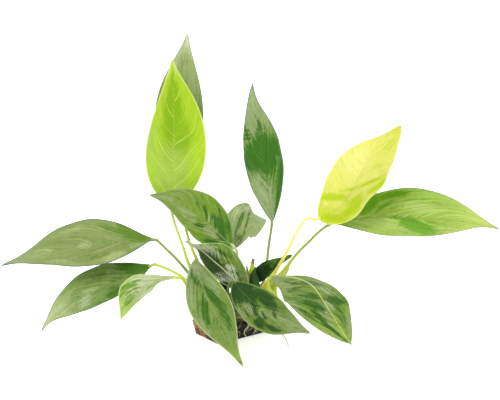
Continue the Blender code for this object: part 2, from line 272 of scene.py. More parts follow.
LOOKS = {
    "tall_back": Look(
        mid=(158, 174, 116), tip=(214, 224, 182), pale=(178, 192, 142), deep_and_shade=(130, 148, 90),
        margin=(146, 158, 140), light=1.06, vein_show=0.12, streak=0.39, rib_show=0.1, through=0.2,
        tip_from=0.82,
        deep_and_shade_patches=((50, 90, 25, 20, 0, 70), (85, 10, 10, 50, 0, 30), (60, -20, 14, 10, 0, 40),),
        sheen_patches=((80, -70, 25, 30, 0, 80), (50, -30, 20, 12, 30, 50),),
    ),
    "tall_lime": Look(
        mid=(180, 210, 60), tip=(218, 232, 122), pale=(172, 202, 96), deep_and_shade=(140, 186, 38),
        base=(160, 196, 60), vein=(208, 228, 112), rib=(182, 206, 96), margin=(234, 240, 160),
        light=1.03, veins=6.5, lean=(0.28, 0.28), vein_show=0.95, streak=0.25, rib_show=0.45, ragged=0.4,
        soft=0.35, wave=0.9, through=0.35, relief=0.22, tip_from=0.85,
        deep_and_shade_patches=((68, -10, 24, 40, 0, 95), (47, 25, 14, 30, 0, 60),),
        sheen_patches=((22, -10, 20, 60, 0, 90), (40, -85, 14, 20, 0, 80),),
    ),
    "crown_left": Look(
        mid=(114, 146, 52), tip=(130, 150, 82), pale=(156, 168, 122), deep_and_shade=(52, 100, 22),
        base=(92, 142, 38), vein=(152, 176, 100), rib=(140, 154, 112), margin=(156, 170, 128),
        lean=(0.5, 0.35), vein_show=0.2, rib_show=0.6, margin_show=0.7, wave=0.9,
        deep_and_shade_patches=((29, 37, 10.4, 24, 11, 120), (18, 3, 9.2, 20, 9, 90), (51, 37, 2.6, 20, 26, 80),
            (23, 77, 7.7, 20, 21, 70), (45, -33, 4.1, 18, -16, 100), (15, -57, 10.3, 24, -23, 100),
            (42, 40, 2.7, 13, 30, 70), (60, 40, 2, 25, 30, 60), (36, 60, 2, 30, 30, 70),),
        sheen_patches=((27, -23, 13.7, 22, -3, 80), (62, -30, 16, 30, 20, 45), (89, 20, 8.1, 39, 0, 40),
            (42, 20, 4, 10, 10, 50),),
    ),
    "arching_back": Look(
        mid=(152, 170, 108), tip=(172, 188, 134), pale=(186, 198, 150), deep_and_shade=(78, 108, 52),
        base=(148, 166, 104), margin=(150, 162, 130), streak=0.98, rib_show=0.0,
        deep_and_shade_patches=((24, -17, 3, 20, -60, 100), (33, -20, 3, 20, -50, 90), (30, 25, 3, 35, -50, 90),
            (20, 50, 3, 40, -50, 70), (45, 0, 2.5, 50, -50, 70), (14, 30, 5, 30, 0, 60),),
        sheen_patches=((40, -67, 10, 24, 0, 80), (51, -30, 10, 30, 0, 80),),
    ),
    "folded_centre": Look(
        mid=(104, 132, 54), tip=(170, 180, 142), pale=(158, 168, 134), deep_and_shade=(22, 50, 24),
        base=(88, 116, 44), vein=(122, 148, 84), rib=(170, 180, 134), margin=(160, 174, 128), light=1.16,
        lean=(0.5, 0.5), vein_show=0.15, streak=0.91, rib_show=0.8, tip_from=0.75,
        deep_and_shade_patches=((47, -40, 24.7, 55, -8, 160), (15, -90, 4.5, 22, 0, 160), (42, 57, 12.2, 13, -25, 50),
            (11, 47, 5.3, 15, 11, 50),),
        sheen_patches=((89, 63, 15, 141, 0, 120), (68, 37, 16, 34, 23, 100), (18, -37, 5.1, 54, -11, 120),
            (20, 30, 3.9, 16, -19, 100), (51, 33, 11.9, 15, -38, 60),),
        painted_glints=((20, -43, 6.2, 61, -10, 140), (20, 33, 4.6, 20, -18, 120), (10, 87, 3.8, 20, -6, 40),),
    ),
    "front_hanging": Look(
        mid=(120, 148, 70), tip=(146, 178, 76), pale=(156, 170, 126), deep_and_shade=(58, 104, 22),
        base=(120, 138, 86), vein=(156, 174, 118), rib=(150, 168, 106), margin=(180, 192, 130),
        light=0.95, veins=9.0, lean=(0.55, 0.55), streak=0.85, rib_show=0.4, margin_show=0.8,
        tip_from=0.8,
        deep_and_shade_patches=((36, -30, 10.8, 22, -42, 130), (41, 33, 9.5, 25, 34, 100), (55, -47, 18, 24, -22, 60),
            (46, -100, 14.3, 7, -25, 55), (11, 47, 3.7, 26, -22, 80), (17, 13, 3.8, 16, -35, 60),
            (52, 47, 4.3, 15, 21, 90), (98, 30, 2, 126, 0, 80), (65, 7, 9.6, 10, 40, 45),
            (72, -37, 8.2, 17, -43, 40),),
        sheen_patches=((4, 10, 6, 76, -2, 60), (24, -57, 10.7, 21, -33, 70), (26, 73, 12.5, 16, 14, 60),
            (41, 53, 3.4, 9, 28, 70), (60, 83, 13.9, 25, 16, 50), (83, -73, 5.7, 39, -13, 40),),
    ),
    "far_left": Look(
        mid=(138, 156, 92), tip=(172, 184, 138), pale=(174, 188, 126), deep_and_shade=(96, 136, 44),
        base=(108, 140, 60), vein=(166, 182, 120), rib=(146, 164, 98), margin=GREY_MARGIN, light=0.91,
        lean=(0.8, 0.6), vein_show=0.14, fine_show=0.12, streak=0.72, rib_show=0.12, margin_show=0.9,
        ragged=0.9, soft=0.3, relief=0.05, tip_from=0.7,
        deep_and_shade_patches=((14, 60, 10.4, 47, 7, 110), (29, 67, 8.4, 18, 7, 45), (32, 13, 6.8, 18, 40, 40),
            (41, -47, 9.5, 15, 4, 35), (57, 43, 6.3, 10, -42, 30),),
        sheen_patches=((28, -73, 6.1, 22, 1, 110), (47, 3, 5.3, 12, -3, 50), (76, 0, 9.1, 36, 2, 40),
            (62, -77, 10.5, 19, 11, 50), (55, 73, 8.9, 12, 1, 40), (12, -43, 5.8, 27, 5, 60),),
    ),
    "low_left": Look(
        mid=(124, 148, 80), tip=(206, 214, 156), pale=(170, 186, 126), deep_and_shade=(70, 114, 32),
        base=(84, 128, 38), vein=(160, 178, 120), rib=(130, 152, 88), margin=GREY_MARGIN,
        lean=(0.7, 0.7), margin_show=0.85,
        deep_and_shade_patches=((12, 47, 9.4, 59, 8, 120), (36, -60, 6.5, 40, -3, 90), (49, -93, 6.1, 16, 1, 50),
            (29, 17, 9.6, 15, -25, 50), (45, 47, 9.9, 11, 3, 40),),
        sheen_patches=((60, -37, 4.3, 32, -14, 70), (82, -23, 8.2, 74, -6, 70), (53, 13, 5.1, 9, 46, 60),
            (71, 43, 5.6, 21, -8, 40),),
        painted_glints=((60, -37, 6.6, 46, -6, 80), (33, 60, 4.3, 12, 3, 70), (52, -10, 4.7, 26, -6, 40),),
    ),
    "small_left": Look(
        mid=(154, 174, 98), tip=(174, 200, 92), pale=(208, 214, 180), deep_and_shade=(100, 146, 34),
        base=(204, 210, 180), vein=(218, 224, 190), rib=(200, 210, 156), margin=(206, 216, 158),
        light=1.1, veins=7.0, lean=(0.5, 0.6), vein_show=0.75, rib_show=0.6, margin_show=0.8,
        through=0.25,
        deep_and_shade_patches=((61, 70, 5.4, 24, 33, 110), (71, 67, 3.9, 24, 27, 70), (74, 23, 12.7, 20, 8, 60),
            (48, 63, 5.5, 11, 47, 70), (58, 30, 4.8, 17, 58, 50),),
        sheen_patches=((35, 50, 16.1, 44, -14, 120), (52, 43, 6.6, 17, 61, 90), (55, -67, 14.2, 46, -1, 80),
            (67, 23, 6.1, 12, 65, 70),),
    ),
    "upright_centre": Look(
        mid=(114, 144, 64), tip=(180, 194, 140), pale=(154, 168, 122), deep_and_shade=(54, 106, 20),
        base=(140, 156, 112), vein=(130, 160, 88), rib=(104, 132, 72), margin=(116, 134, 120),
        lean=(0.3, 0.8), vein_show=0.12, rib_show=0.2, margin_show=0.8, tip_from=0.75,
        deep_and_shade_patches=((50, 10, 16, 60, 0, 130), (47, -50, 11, 55, 0, 120), (20, 85, 22, 26, 10, 130),
            (73, 13, 4.5, 13, 0, 100), (55, 75, 10, 20, 0, 90), (64, -75, 1.2, 30, 0, 90),
            (67, -75, 1.2, 30, 0, 80), (70, -75, 1.2, 25, 0, 70),),
        sheen_patches=((87, -20, 16, 110, 0, 130), (17, -30, 17, 60, -15, 120), (38, 70, 12, 6, 50, 110),
            (78, 60, 8, 30, 0, 70),),
    ),
    "small_back": Look(
        mid=(62, 104, 28), tip=(92, 128, 44), pale=(104, 142, 50), deep_and_shade=(24, 54, 14), base=(30, 60, 16),
        vein=(96, 124, 56), rib=(70, 96, 40), margin=(84, 112, 48), light=0.85, lean=(0.4, 0.4),
        vein_show=0.1, streak=0.98, margin_show=0.2,
        deep_and_shade_patches=((30, 0, 26, 69, -7, 120), (17, 37, 15, 58, 9, 100), (60, 40, 10, 40, 0, 70),),
        sheen_patches=((95, 0, 10, 110, 0, 100), (62, -30, 9, 40, -13, 90),),
    ),
    "yellow_right": Look(
        mid=(237, 237, 134), tip=(233, 231, 100), pale=(244, 242, 164), deep_and_shade=(200, 222, 40),
        base=(218, 230, 70), vein=(238, 240, 116), rib=(236, 236, 120), margin=(248, 246, 176),
        light=0.97, lean=(0.15, 0.5), vein_show=0.12, fine_show=0.05, streak=0.12, rib_show=0.06,
        ragged=0.6, uneven=0.08, soft=0.45, wave=1.0, through=0.5, tip_from=0.82,
        deep_and_shade_patches=((18, -47, 3.6, 54, 18, 100), (24, 57, 10.3, 28, -1, 100), (45, 47, 2.5, 41, 25, 80),
            (45, 83, 5.8, 15, 46, 100), (60, 50, 2, 17, 11, 50), (82, 50, 7.3, 27, 7, 35),
            (9, 47, 5.5, 62, 10, 75), (35, 3, 2.5, 38, 18, 60), (24, 0, 2.1, 28, 5, 60),),
        sheen_patches=((58, -43, 14.7, 50, -1, 80), (34, 67, 4.7, 12, 37, 70), (10, -53, 2.9, 20, 3, 70),
            (51, 47, 2.3, 23, 18, 50),),
    ),
    "far_right": Look(
        mid=(154, 184, 82), tip=(206, 220, 120), pale=(180, 200, 116), deep_and_shade=(98, 156, 14),
        base=(116, 156, 58), vein=(184, 204, 118), rib=(126, 156, 80), margin=(150, 160, 138),
        light=1.04, lean=(0.6, 0.5), vein_show=0.3, streak=0.72, rib_show=0.4, margin_show=0.75,
        soft=0.3, through=0.2,
        deep_and_shade_patches=((54, 43, 6.2, 38, 15, 140), (27, -63, 4.6, 42, -7, 110), (40, -80, 8.6, 12, 7, 80),
            (35, -40, 2.3, 23, -22, 70), (62, -60, 2, 10, 75, 40), (43, -40, 2.4, 14, -40, 40),
            (42, 2, 3, 10, 0, 70), (92, 100, 2.6, 50, 2, 40),),
        sheen_patches=((35, 33, 11.4, 31, 23, 110), (24, 87, 7.5, 17, 16, 70), (54, -37, 8.6, 13, 5, 80),
            (72, 73, 5.8, 34, 19, 70), (42, -10, 5.6, 7, 4, 60),),
    ),
    "low_right": Look(
        mid=(112, 142, 58), tip=(146, 174, 78), pale=(150, 164, 112), deep_and_shade=(50, 92, 20),
        base=(132, 150, 90), vein=(164, 184, 114), rib=(212, 220, 128), margin=(144, 154, 130),
        light=0.92, veins=9.0, lean=(0.4, -0.35), streak=0.98, rib_show=0.85,
        deep_and_shade_patches=((67, 37, 5.6, 18, -20, 150), (57, 27, 4.4, 24, -24, 100), (84, 50, 14.9, 11, -41, 110),
            (39, -13, 5.9, 33, -15, 90), (24, 33, 4.9, 15, -56, 80), (36, 53, 4, 20, -32, 70),
            (67, -53, 4.7, 28, -10, 100), (84, -40, 9.3, 24, -3, 55), (71, 77, 8.7, 12, -22, 50),
            (59, 67, 5, 10, -61, 40),),
        sheen_patches=((18, 67, 18.4, 33, 4, 80), (53, -40, 6.4, 17, 2, 100), (77, 20, 6.9, 14, 9, 90),
            (64, 13, 2.1, 11, -27, 60), (91, -67, 6.9, 24, 23, 70), (57, 93, 18.1, 10, -45, 50),
            (74, -20, 4.5, 10, 7, 60),),
        painted_glints=((71, -7, 5.5, 14, 9, 90), (46, 80, 20.9, 17, -21, 35), (74, 33, 4.6, 11, 5, 40),),
    ),
    "front_right": Look(
        mid=(112, 144, 56), tip=(156, 170, 112), pale=(152, 168, 110), deep_and_shade=(34, 76, 14),
        base=(36, 66, 22), vein=(158, 174, 118), rib=(134, 154, 90), margin=(158, 172, 114), light=0.84,
        veins=9.0, streak=1.04,
        deep_and_shade_patches=((15, 10, 14.7, 71, -5, 170), (38, -57, 17.5, 30, 13, 100), (55, 67, 5, 26, 6, 90),
            (68, 60, 7.9, 18, 2, 80), (33, 0, 8, 22, 3, 80), (39, 67, 4.4, 10, 39, 80),
            (43, 33, 3.3, 12, 35, 80), (52, 20, 3, 14, 30, 80), (60, -10, 3, 16, 20, 60),
            (64, -63, 5, 13, -68, 40),),
        sheen_patches=((62, -15, 13, 33, -10, 70), (38, 43, 8.5, 20, 9, 60), (35, 97, 10, 9, 19, 100),
            (48, 98, 8, 6, 0, 100), (85, -30, 12, 60, 0, 60), (49, 7, 5.3, 20, 4, 60),),
        painted_glints=((36, 40, 10, 30, 8, 55), (36, 85, 10, 14, 10, 60), (50, 10, 8, 20, 8, 40),),
    ),
}

# The stalks' colours towards the blade and towards the foot, how far up the sheath reaches and how
# wide its wings stand
STALKS = {
    "tall_back": ((206, 206, 110), (216, 222, 80), 0.5, 1.0),
    "tall_lime": ((214, 224, 120), (198, 220, 50), 0.5, 1.2),
    "crown_left": ((200, 210, 150), (140, 170, 70), 0.2, 0.55),
    "arching_back": ((150, 170, 100), (130, 160, 70), 0.2, 0.55),
    # The dark feet of this stalk and of front_right's are painted shade in the gap above the rhizome
    "folded_centre": ((70, 96, 36), (44, 60, 24), 0.3, 0.55),
    "front_hanging": ((130, 152, 80), (60, 80, 30), 0.25, 0.55),
    "far_left": ((140, 156, 90), (118, 138, 66), 0.3, 0.6),
    "low_left": ((190, 206, 90), (196, 214, 64), 0.4, 0.7),
    "small_left": ((200, 214, 90), (190, 210, 70), 0.35, 0.55),
    "upright_centre": ((142, 160, 98), (188, 202, 92), 0.35, 0.7),
    "small_back": ((60, 84, 34), (90, 116, 46), 0.2, 0.55),
    "yellow_right": ((236, 238, 130), (220, 214, 62), 0.42, 0.9),
    "far_right": ((150, 168, 84), (206, 218, 66), 0.5, 1.5),
    "low_right": ((206, 222, 90), (188, 208, 56), 0.85, 1.4),
    # Painted shade: dark towards its foot
    "front_right": ((96, 124, 50), (44, 60, 24), 0.25, 0.55),
}

# Name, place on the rhizome, the points that it passes, its widths at foot, middle and tip, slot, and its
# colours at foot, middle and tip
SHOOTS = (
    (
        "shoot_tall", (0.68, -20), ((7.5, 8, 33.2), (9.1, 9, 43.3)), (2.8, 2.8, 1.5), "shoot",
        ((206, 220, 62), (196, 210, 66), (128, 110, 86)),
    ),
    (
        "shoot_short", (0.57, -5), ((5.7, 1, 32.2), (5.1, 3, 40.7)), (2.2, 2.0, 0.8), "shoot",
        ((130, 152, 56), (124, 126, 72), (112, 100, 84)),
    ),
    (
        "shoot_young_leaf", (0.75, 8), ((9.2, 3.5, 33.4), (10.3, 5, 39.7)), (3.0, 5.0, 0.6), "leaf_green",
        ((44, 78, 22), (40, 70, 22), (62, 90, 34)),
    ),
)

# Name, points, width, and colours at foot, middle and tip
# The two dark sheaths are painted shade: dark pieces that fill the shaded gap behind the front leaves
SHADE_SHEATH_COLOURS = ((34, 48, 18), (24, 32, 14), (70, 54, 28))
BROWN = ((128, 120, 50), (120, 88, 44), (92, 64, 36))
OLD_SHEATHS = (
    ("old_sheath_left", ((-7, -8, 15), (-8.2, -8, 26), (-11.3, -7.4, 40)), 6.5, SHADE_SHEATH_COLOURS),
    ("old_sheath_middle", ((-0.5, -10, 15), (-2.6, -10.6, 23), (-4.6, -11, 31.5)), 6, SHADE_SHEATH_COLOURS),
    ("old_sheath_right", ((25, 9, 28.5), (27.8, 8.2, 32.8), (30, 8.4, 36), (32.2, 8.8, 39)), 1.3, BROWN),
)

# Name, place along the rhizome, places and heights on the block's front, and points on the floor
ROOTS = (
    ("root_left", 0.16, ((-17, 8), (-18.5, 3.5), (-17.5, 0.6)), ()),
    ("root_middle", 0.45, ((-3, 8), (-5.5, 4.5), (-4, 0.8)), ()),
    ("root_right", 0.59, ((2.5, 8), (3, 4), (1, 1.5)), ()),
    ("root_trailing", 0.82, ((13, 8), (15, 4.5)), ((23, -1, 1.9), (27.5, -12, 1.1), (30.5, -34, 0.7))),
)

# Name, number of roots, seed and whether they grow down the back
FINE_ROOTS = (("roots_front", 16, 21, False), ("roots_back", 14, 45, True))

# Name, place and aim in metres, and power
LIGHTS = (
    ("key", (-0.7, -0.9, 1.3), (0, 0, 0.06), 16),
    ("fill", (1.0, -0.7, 0.8), (0, 0, 0.06), 6),
    ("back", (0.3, 1.1, 0.9), (0, 0, 0.08), 8),
)
LIGHT_SIZE = 0.9


def linear(colour):
    """An sRGB colour from 0 to 255 as Blender's linear one."""
    parts = [part / 255 for part in colour]
    parts = [p / 12.92 if p <= 0.04045 else ((p + 0.055) / 1.055) ** 2.4 for p in parts]
    return (*parts, 1.0)


def skin(colour, light=1.0):
    """A linear colour that looks like the given one once the surface's sheen is added."""
    return (*(max(0.004, (part - SHEEN) * light * BRIGHT) for part in linear(colour)[:3]), 1.0)


def darker(colour, share):
    """The given share of a colour."""
    return tuple(share * part for part in colour)


def halfway(colour, other):
    """The colour between two."""
    return tuple(0.5 * (a + b) for a, b in zip(colour, other))


def smooth(value, low, high):
    """0 below low, 1 above high and smooth between them."""
    share = np.clip((value - low) / (high - low), 0, 1)
    return share * share * (3 - 2 * share)


def hump(value, spread):
    """1 where the value is 0, and fading to both sides."""
    return np.exp(-((value / spread) ** 2))


def along(points, t):
    """The points at t on the smooth curve that passes the four points at 0, 1/3, 2/3 and 1."""
    a, b, c, d = (np.array(point, float) for point in points)
    u = 3 * np.atleast_1d(t)[:, None]
    start = a * (1 - u) * (2 - u) * (3 - u) / 6 + b * u * (2 - u) * (3 - u) / 2
    return start + c * u * (u - 1) * (3 - u) / 2 + d * u * (u - 1) * (u - 2) / 6


def unit(vectors):
    """The vectors at length 1."""
    return vectors / np.linalg.norm(vectors, axis=-1, keepdims=True)


def heading_along(points, t):
    """The directions in which that curve runs at t."""
    return unit(along(points, t + 0.01) - along(points, t - 0.01))


def reach_of_half(leaf, t, right):
    """How far one half of the blade reaches from its midrib at t, 0 at its stalk and 1 at its tip."""
    widest = leaf.widest[right]
    beyond = np.maximum(0.0, (t - widest) / (1 - widest))
    taper = leaf.taper[right] * (1 + leaf.point[right] * beyond**2)
    share = (t / widest) ** taper * ((1 - t) / (1 - widest)) ** (taper * (1 - widest) / widest)
    width = leaf.width * (1 + leaf.skew if right else 1 - leaf.skew)
    if right:
        width = width * (1 - leaf.waist[1] * hump(t - leaf.waist[0], WAIST_LENGTH))
    ends = BLADE_END_WIDTH * (1 - t) + BLADE_TIP_WIDTH * t
    rounding = np.clip(np.sqrt((1 - t) / BLADE_TIP_ROUND), BLADE_TIP_END, 1.0)
    return 0.5 * (width * share + ends * (1 - share)) * rounding


def blade_frames(leaf, t):
    """The midrib's directions at t, and those square to it that the upper side faces."""
    heading = heading_along(leaf.midrib, t)
    across = np.cross(np.subtract(leaf.midrib[3], leaf.midrib[0]), leaf.facing)
    across = unit(across - heading * (heading @ across)[:, None])
    return heading, np.cross(across, heading)


def in_order(rows, columns, first=0):
    """Quads over a grid of vertices."""
    index = first + np.arange(rows * columns).reshape(rows, columns)
    return np.stack([index[:-1, :-1], index[:-1, 1:], index[1:, 1:], index[1:, :-1]], -1).reshape(-1, 4)


def as_rows(*grids):
    """Grids of one shape as rows, with a number from each."""
    return np.stack(np.broadcast_arrays(*grids), -1).reshape(-1, len(grids))


def mesh_object(name, vertices, faces, attributes, surface):
    """A smooth mesh from points in millimetres, with its vector attributes, material and slot."""
    mesh = bpy.data.meshes.new(name)
    mesh.from_pydata((np.asarray(vertices) * MM).tolist(), [], [list(map(int, face)) for face in faces])
    mesh.update()
    for key, values in attributes.items():
        layer = mesh.attributes.new(key, "FLOAT_VECTOR", "POINT")
        layer.data.foreach_set("vector", np.asarray(values, np.float32).ravel())
    mesh.materials.append(surface)
    mesh.shade_smooth()
    piece = bpy.data.objects.new(name, mesh)
    bpy.context.scene.collection.objects.link(piece)
    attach(piece, "root")
    return piece


def patch_field(patches, t, s):
    """How strongly the patches cover each place of a blade."""
    field = np.zeros_like(t)
    for patch in patches:
        at_t, at_s, length, width, slant, strength = np.array(patch) / 100
        far = np.hypot((t - at_t - slant * (s - at_s)) / length, (s - at_s) / width)
        field = np.maximum(field, strength / (1 + far**4))
    return field


def blade_relief(leaf, look, t, s, reach, vein, phases):
    """How high and how far out the upper side lies from the midrib's curve, and its furrows."""
    side, right = np.abs(s), s > 0
    from_rib = reach * side
    fold = np.radians(leaf.fold * (1 - t**6))
    rise = np.sqrt((from_rib * np.sin(fold)) ** 2 + 0.05) - 0.22
    rise = rise * math.copysign(1, leaf.fold)
    envelope = smooth(side, 0.02, 0.2) * (1 - side**4) * smooth(t, 0, 0.1) * (1 - t**6)
    furrow = (0.5 + 0.5 * np.cos(FULL_TURN * look.veins * vein)) ** 3
    rise = rise - look.relief * furrow * envelope + 0.5 * look.relief * envelope
    waving = side**1.6 * np.sin(np.pi * t) ** 0.6
    for k, (height, waves) in enumerate(((0.6, 1.7), (0.35, 4.3))):
        phase = np.where(right, phases[2 * k], phases[2 * k + 1])
        rise = rise + look.wave * waving * height * np.sin(FULL_TURN * (waves * t) + phase)
    swing = np.sin(FULL_TURN * (2.6 * t + 0.5 * s) + phases[4])
    rise = rise + 0.25 * look.wave * swing * np.sin(np.pi * t)
    rise = rise - 0.3 * hump(from_rib, 0.9 - 0.5 * t) * (1 - 0.7 * t)
    return rise, reach * s * np.cos(fold), furrow * envelope


def blade(leaf, look, surface, seed):
    """The blade in full detail: sunken veins, a grooved midrib, waves and a thin margin."""
    rows = np.linspace(0, 1, BLADE_ROWS)
    t = 0.5 * (rows + 0.5 - 0.5 * np.cos(np.pi * rows))
    t[0], t[-1] = 1e-4, 1 - 1e-4
    share = np.linspace(-1, 1, BLADE_COLUMNS + 1)
    s = 0.55 * share + 0.45 * np.sin(0.5 * np.pi * share)
    heading, up = blade_frames(leaf, t)
    across = np.cross(heading, up)
    line = along(leaf.midrib, t)
    reach = np.where(s > 0, reach_of_half(leaf, t, 1)[:, None], reach_of_half(leaf, t, 0)[:, None])
    phases = np.random.default_rng(seed).uniform(0, FULL_TURN, 6)
    t, s = np.broadcast_arrays(t[:, None], s)
    side, right = np.abs(s), s > 0
    from_rib = reach * side
    from_margin = reach * (1 - side)
    vein = t - np.where(right, look.lean[1], look.lean[0]) * side**1.35
    vein = vein + np.where(right, VEIN_SHIFT, 0.0) / look.veins
    vein = vein + VEIN_WOBBLE * np.sin(19 * t + phases[5] + 3 * s)
    rise, flat, furrow = blade_relief(leaf, look, t, s, reach, vein, phases)
    upper = line[:, None] + across[:, None] * flat[..., None] + up[:, None] * rise[..., None]
    lamina = MARGIN_THICKNESS + LAMINA_GAIN * smooth(from_margin, 0, LAMINA_REACH) + 0.12 * furrow
    rib = (MIDRIB_THICKNESS - LAMINA_GAIN) * (1 - 0.75 * t) * hump(from_rib, 1.15 - 0.6 * t)
    lower = upper - up[:, None] * (lamina + rib)[..., None]
    count = reach.size
    grid = np.arange(count).reshape(reach.shape)
    rim = np.concatenate([grid[0], grid[1:, -1], grid[-1, -2::-1], grid[-2:0:-1, 0]])
    after = np.roll(rim, -1)
    walls = np.stack([after, rim, rim + count, after + count], -1)
    faces = np.concatenate([in_order(*reach.shape), in_order(*reach.shape, count)[:, ::-1], walls])
    place = as_rows(t, s, vein)
    # Fields of painted sheen, of deep green with painted shade, and of painted glints
    tone = as_rows(*(patch_field(patches, t, s) for patches in (look.sheen_patches, look.deep_and_shade_patches, look.painted_glints)))
    edge = as_rows(from_rib, from_margin, 1.0)
    attributes = {
        "place": np.concatenate([place, place]),
        "tone": np.concatenate([tone, tone]),
        "edge": np.concatenate([edge, edge * (1, 1, 0)]),
    }
    vertices = np.concatenate([upper.reshape(-1, 3), lower.reshape(-1, 3)])
    piece = mesh_object("blade_" + leaf.name, vertices, faces, attributes, surface)
    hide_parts("leaf_" + leaf.name)


def line_through(points, steps):
    """Places along the smooth curve that Blender's automatic handles draw through the points."""
    curve = bpy.data.curves.new("line", "CURVE")
    curve.dimensions = "3D"
    curve.resolution_u = steps
    spline = curve.splines.new("BEZIER")
    spline.bezier_points.add(len(points) - 1)
    for knot, point in zip(spline.bezier_points, points):
        knot.co = Vector(point)
        knot.handle_left_type = knot.handle_right_type = "AUTO"
    helper = bpy.data.objects.new("line", curve)
    bpy.context.scene.collection.objects.link(helper)
    drawn = helper.evaluated_get(bpy.context.evaluated_depsgraph_get()).to_mesh()
    places = np.array([vertex.co for vertex in drawn.vertices])
    bpy.data.objects.remove(helper, do_unlink=True)
    bpy.data.curves.remove(curve)
    return places


def sweep(line, radius, sides, reference):
    """A tube round the line. radius gives each ring's radii, from its place and the angles."""
    heading = unit(np.gradient(line, axis=0))
    first = np.asarray(reference, float)
    out = []
    for direction in heading:
        first = first - direction * (first @ direction)
        first = first / np.linalg.norm(first)
        out.append(first)
    out = np.array(out)
    aside = np.cross(heading, out)
    turn = np.linspace(-np.pi, np.pi, sides, endpoint=False)
    steps = np.concatenate([[0], np.cumsum(np.linalg.norm(np.diff(line, axis=0), axis=1))])
    share = steps / steps[-1]
    radii = radius(share[:, None], turn[None, :])
    rings = (
        line[:, None]
        + out[:, None] * (radii * np.cos(turn))[..., None]
        + aside[:, None] * (radii * np.sin(turn))[..., None]
    )
    count = len(line)
    index = np.arange(count * sides).reshape(count, sides)
    beside = np.roll(index, -1, axis=1)
    walls = np.stack([index[:-1], beside[:-1], beside[1:], index[1:]], -1).reshape(-1, 4)
    vertices = np.concatenate([rings.reshape(-1, 3), line[:1], line[-1:]])
    faces = [tuple(face) for face in walls]
    for k in range(sides):
        after = (k + 1) % sides
        faces.append((index[0, after], index[0, k], count * sides))
        faces.append((index[-1, k], index[-1, after], count * sides + 1))
    place = as_rows(share[:, None], np.abs(turn) / np.pi, steps[:, None])
    return vertices, faces, np.concatenate([place, [[0, 0.5, 0]], [[1, 0.5, steps[-1]]]])


def tube_piece(name, replaced, line, radius, sides, reference, surface):
    """A swept piece, in place of a node of the solids if it replaces one."""
    vertices, faces, place = sweep(line, radius, sides, reference)
    piece = mesh_object(name, vertices, faces, {"place": place}, surface)
    if replaced:
        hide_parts(replaced)


def on_rhizome(share, degrees, height):
    """A point above the rhizome's skin, and the direction straight out of it there."""
    heading = heading_along(RHIZOME, share)[0]
    out = unit(np.array([0.0, 0.0, 1.0]) - heading * heading[2])
    turn = math.radians(degrees)
    out = out * math.cos(turn) + np.cross(heading, out) * math.sin(turn)
    return along(RHIZOME, share)[0] + out * (RHIZOME_RADIUS * (1 + RHIZOME_SWELL) + height), out


def stalk(leaf, surface):
    """From inside the rhizome to the blade: a sheath with two wings, a groove and a swollen joint."""
    sheath, breadth = STALKS[leaf.name][2:]
    foot, out = on_rhizome(*leaf.foot, GAP)
    heading, up = (direction[0] for direction in blade_frames(leaf, np.array([0.0])))
    base = np.array(leaf.midrib[0]) - up * 0.5 * MIDRIB_THICKNESS
    neck = unit(heading + unit(base - np.array(leaf.via[-1])))
    clear = GAP + STALK_END_RADIUS * np.linalg.norm(np.cross(neck, heading))
    points = [foot, foot + out * STALK_RISE, *leaf.via, base - neck * leaf.neck, base - neck * clear]
    line = line_through(points, STALK_STEPS)
    rooted = [line[0] - out * STALK_BURIED, line[0] - out * 0.5 * STALK_BURIED]
    line = np.concatenate([rooted, line, [base, base + heading * 1.5]])

    def radius(share, turn):
        bare = STALK_RADIUS + (STALK_FOOT_RADIUS - STALK_RADIUS) * (1 - smooth(share, 0.0, 0.35))
        bare = bare - 0.14 * smooth(share, 0.3, 0.85) + 0.12 * smooth(share, 0.9, 0.93)
        bare = bare - 0.2 * smooth(share, 0.965, 1.0)
        wings = hump(np.abs(turn) - WING_TURN, WING_SPREAD) * (1 - smooth(share, 0.3 * sheath, sheath))
        groove = 0.16 * hump(turn, 0.6) * (1 - smooth(share, 0.85, 0.95))
        return bare * (1 + breadth * wings - groove)

    tube_piece(
        "stem_" + leaf.name, "stalk_" + leaf.name, line, radius, STALK_SIDES, leaf.facing, surface,
    )


class Value:
    """What a node gives out: numbers to reckon with, or a colour to paint over."""

    def __init__(self, shader, socket):
        self.shader = shader
        self.socket = socket

    def __add__(self, other):
        return self.shader.math("ADD", self, other)

    def __sub__(self, other):
        return self.shader.math("SUBTRACT", self, other)

    def __mul__(self, other):
        return self.shader.math("MULTIPLY", self, other)

    def __truediv__(self, other):
        return self.shader.math("DIVIDE", self, other)

    def times_plus(self, factor, more):
        """This times the factor, plus more."""
        return self.shader.math("MULTIPLY_ADD", self, factor, more)

    def to_and_fro(self):
        """Up to a half and down again with each whole number."""
        return self.shader.math("PINGPONG", self, 0.5)

    def ramp(self, low, high, low_to=0.0, high_to=1.0):
        """A smooth step from low_to to high_to as the value goes from low to high."""
        inputs = {"Value": self, "From Min": low, "From Max": high, "To Min": low_to, "To Max": high_to}
        return self.shader.add("ShaderNodeMapRange", inputs, interpolation_type="SMOOTHSTEP")

    def painted(self, colour, share):
        """This colour, with a share of another laid over it."""
        return self.shader.mix(share, self, colour)

    def noise(self, scale, detail=2.0, roughness=0.5):
        inputs = {"Vector": self, "Scale": scale, "Detail": detail, "Roughness": roughness}
        return self.shader.add("ShaderNodeTexNoise", inputs)

    def bump(self, distance, strength):
        inputs = {"Height": self, "Distance": distance, "Strength": strength}
        return self.shader.add("ShaderNodeBump", inputs)


